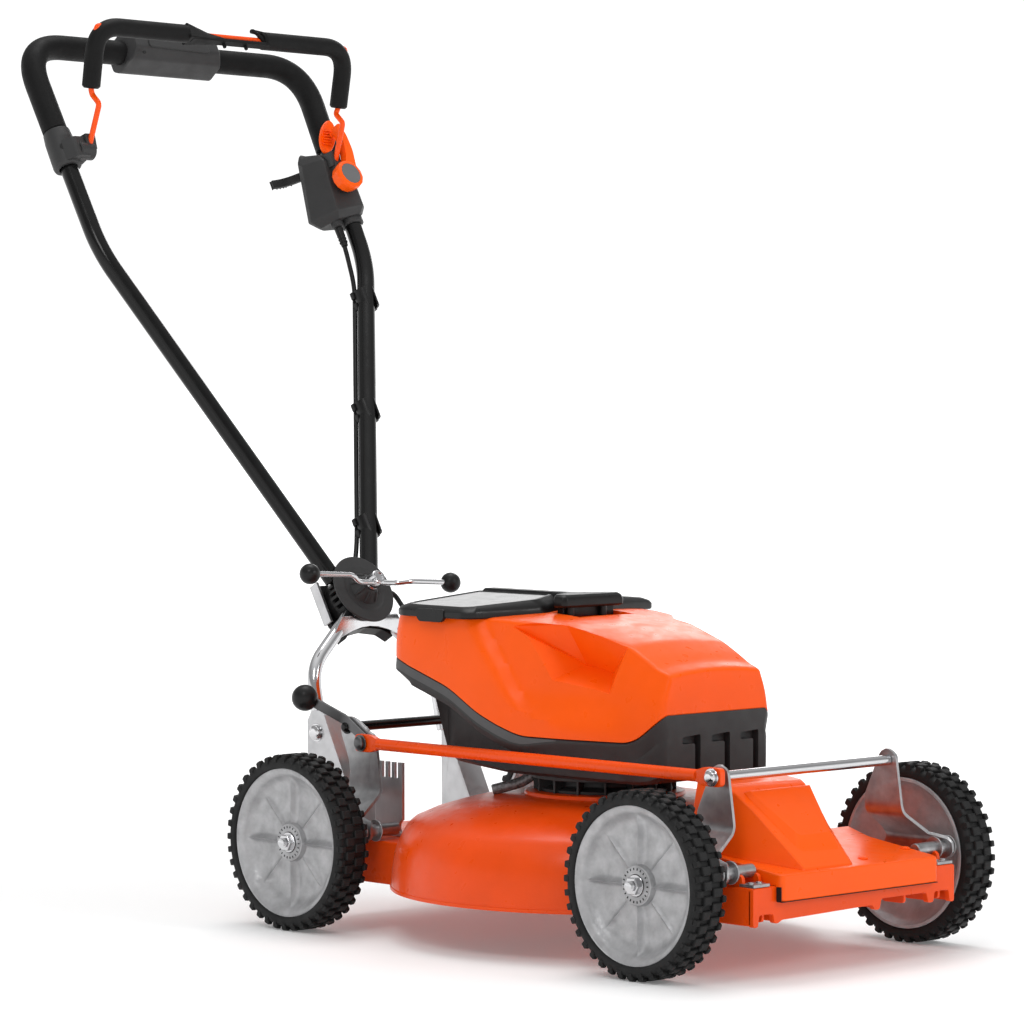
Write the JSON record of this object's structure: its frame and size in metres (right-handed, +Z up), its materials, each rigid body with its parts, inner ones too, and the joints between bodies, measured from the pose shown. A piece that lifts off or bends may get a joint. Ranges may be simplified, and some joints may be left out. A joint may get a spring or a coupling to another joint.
{
  "type": "battery lawn mower",
  "caption": "Walk-behind battery lawn mower with a round mulching deck, cast wheels on folded height arms, and a swivelling handle with a presence bail.",
  "frame": {"origin": "middle of the bounding box at ground level; the deck mid-plane is 6 mm to the -X side of it, because the handle stands 1.5 degrees off centre", "axes": "+Z up, -Y towards the front of the mower, +X towards the operator's left hand, +Y towards the operator"},
  "size_m": [0.5161, 1.2622, 1.1079],
  "materials": {
    "orange_paint": "gloss powder coat",
    "orange_plastic": "satin moulded",
    "orange_steel": "satin powder coat",
    "grey_plastic": "fine grain",
    "black_plastic": "satin moulded",
    "black_paint": "gloss powder coat",
    "grip": "soft-touch grip",
    "tyre": "moulded tread",
    "chrome": "bright plated",
    "zinc": "zinc plated",
    "alloy": "rolled sheet",
    "cast_alloy": "as cast",
    "dark_steel": "hardened",
    "braid": "braided sleeve"
  },
  "bodies": {
    "chassis": {"deck_shell": "orange_paint", "front_cover": "orange_plastic", "motor_cover": "orange_plastic", "motor_base": "grey_plastic", "motor_mount": "grey_plastic", "motor_stator": "dark_steel", "motor_controller": "alloy", "battery_right": "black_plastic", "battery_left": "black_plastic", "lid_centre": "black_plastic", "cable_sleeve": "braid", "retainer_right": "zinc", "retainer_left": "zinc", "notch_plate": "alloy", "rear_bracket_right": "alloy", "rear_bracket_left": "alloy", "yoke": "chrome", "hub_base": "black_plastic", "motor_cable": "black_plastic"},
    "rotor": {"rotor_shaft": "zinc", "blade": "dark_steel"},
    "front_axle": {"front_arm_right": "zinc", "front_arm_left": "zinc", "front_cross_rod": "chrome", "wheel_axle_front_right": "chrome", "wheel_axle_front_left": "chrome"},
    "rear_axle": {"rear_arm_right": "zinc", "rear_arm_left": "zinc", "rear_cross_rod": "black_paint", "height_lever": "dark_steel", "height_lever_ball": "black_plastic", "wheel_axle_rear_right": "chrome", "wheel_axle_rear_left": "chrome"},
    "height_link": {"height_link": "orange_steel"},
    "lid_right": {"lid_right": "black_plastic"},
    "lid_left": {"lid_left": "black_plastic"},
    "handle": {"hub_plate": "grey_plastic", "lower_tube_right": "black_paint", "lower_tube_left": "black_paint", "handlebar": "grip", "handle_console": "grey_plastic", "bail_bracket": "grey_plastic", "control_box": "grey_plastic", "control_cable": "black_plastic"},
    "clamp": {"clamp_lever": "chrome", "clamp_ball_right": "black_plastic", "clamp_ball_left": "black_plastic"},
    "bail": {"bail_rod": "orange_steel", "bail_grip_right": "grip", "bail_grip_left": "grip"},
    "start": {"start_lever": "orange_plastic"},
    "thumb": {"thumb_lever": "black_plastic"},
    "wheel_front_right": {"wheel_rim_front_right": "cast_alloy", "tyre_front_right": "tyre"},
    "wheel_front_left": {"wheel_rim_front_left": "cast_alloy", "tyre_front_left": "tyre"},
    "wheel_rear_right": {"wheel_rim_rear_right": "cast_alloy", "tyre_rear_right": "tyre"},
    "wheel_rear_left": {"wheel_rim_rear_left": "cast_alloy", "tyre_rear_left": "tyre"}
  },
  "joints": [
    {"name": "blade_spin", "type": "hinge", "parent": "chassis", "child": "rotor", "pos_m": [-0.006, -0.2295, 0.08], "axis": [0, 0, 1], "continuous": true},
    {"name": "cut_height", "type": "hinge", "parent": "chassis", "child": "front_axle", "pos_m": [-0.006, -0.591, 0.12], "axis": [1, 0, 0], "range_deg": [0, 22]},
    {"name": "cut_height_rear", "type": "hinge", "parent": "chassis", "child": "rear_axle", "pos_m": [-0.006, -0.015, 0.12], "axis": [1, 0, 0], "range_deg": [0, 22]},
    {"name": "link_pivot", "type": "hinge", "parent": "front_axle", "child": "height_link", "pos_m": [-0.1565, -0.549, 0.22], "axis": [1, 0, 0], "range_deg": [-22, 0]},
    {"name": "wheel_spin_front_right", "type": "hinge", "parent": "front_axle", "child": "wheel_front_right", "pos_m": [-0.2315, -0.514, 0.105], "axis": [1, 0, 0], "continuous": true},
    {"name": "wheel_spin_front_left", "type": "hinge", "parent": "front_axle", "child": "wheel_front_left", "pos_m": [0.2195, -0.514, 0.105], "axis": [1, 0, 0], "continuous": true},
    {"name": "wheel_spin_rear_right", "type": "hinge", "parent": "rear_axle", "child": "wheel_rear_right", "pos_m": [-0.2315, 0.062, 0.105], "axis": [1, 0, 0], "continuous": true},
    {"name": "wheel_spin_rear_left", "type": "hinge", "parent": "rear_axle", "child": "wheel_rear_left", "pos_m": [0.2195, 0.062, 0.105], "axis": [1, 0, 0], "continuous": true},
    {"name": "lid_hinge_right", "type": "hinge", "parent": "chassis", "child": "lid_right", "pos_m": [-0.016, -0.1, 0.4], "axis": [0, 1, 0], "range_deg": [0, 70]},
    {"name": "lid_hinge_left", "type": "hinge", "parent": "chassis", "child": "lid_left", "pos_m": [0.004, -0.1, 0.4], "axis": [0, -1, 0], "range_deg": [0, 70]},
    {"name": "handle_swivel", "type": "hinge", "parent": "chassis", "child": "handle", "pos_m": [-0.006, 0.192, 0.393], "axis": [0, 0.866, -0.5], "range_deg": [-30, 30]},
    {"name": "clamp_turn", "type": "hinge", "parent": "chassis", "child": "clamp", "pos_m": [-0.006, 0.192, 0.393], "axis": [0, 0.866, -0.5], "range_deg": [-30, 30]},
    {"name": "bail_pivot", "type": "hinge", "parent": "handle", "child": "bail", "pos_m": [0.01033, 0.50043, 0.93521], "axis": [-0.9997, 0.0131, 0.0227], "range_deg": [0, 27], "stiffness_Nm_per_rad": 1.2, "springref_deg": -20.05},
    {"name": "start_pivot", "type": "hinge", "parent": "handle", "child": "start", "pos_m": [0.21769, 0.47112, 0.92045], "axis": [0, 0.866, -0.5], "range_deg": [0, 35], "stiffness_Nm_per_rad": 0.3, "springref_deg": -17.19},
    {"name": "thumb_pivot", "type": "hinge", "parent": "handle", "child": "thumb", "pos_m": [0.19956, 0.55108, 0.91295], "axis": [0.0262, 0.4998, 0.8657], "range_deg": [0, 20], "stiffness_Nm_per_rad": 0.1, "springref_deg": -17.19}
  ],
  "couplings": [
    {"joint": "cut_height_rear", "follows": "cut_height", "ratio": 1},
    {"joint": "link_pivot", "follows": "cut_height", "ratio": -1}
  ]
}
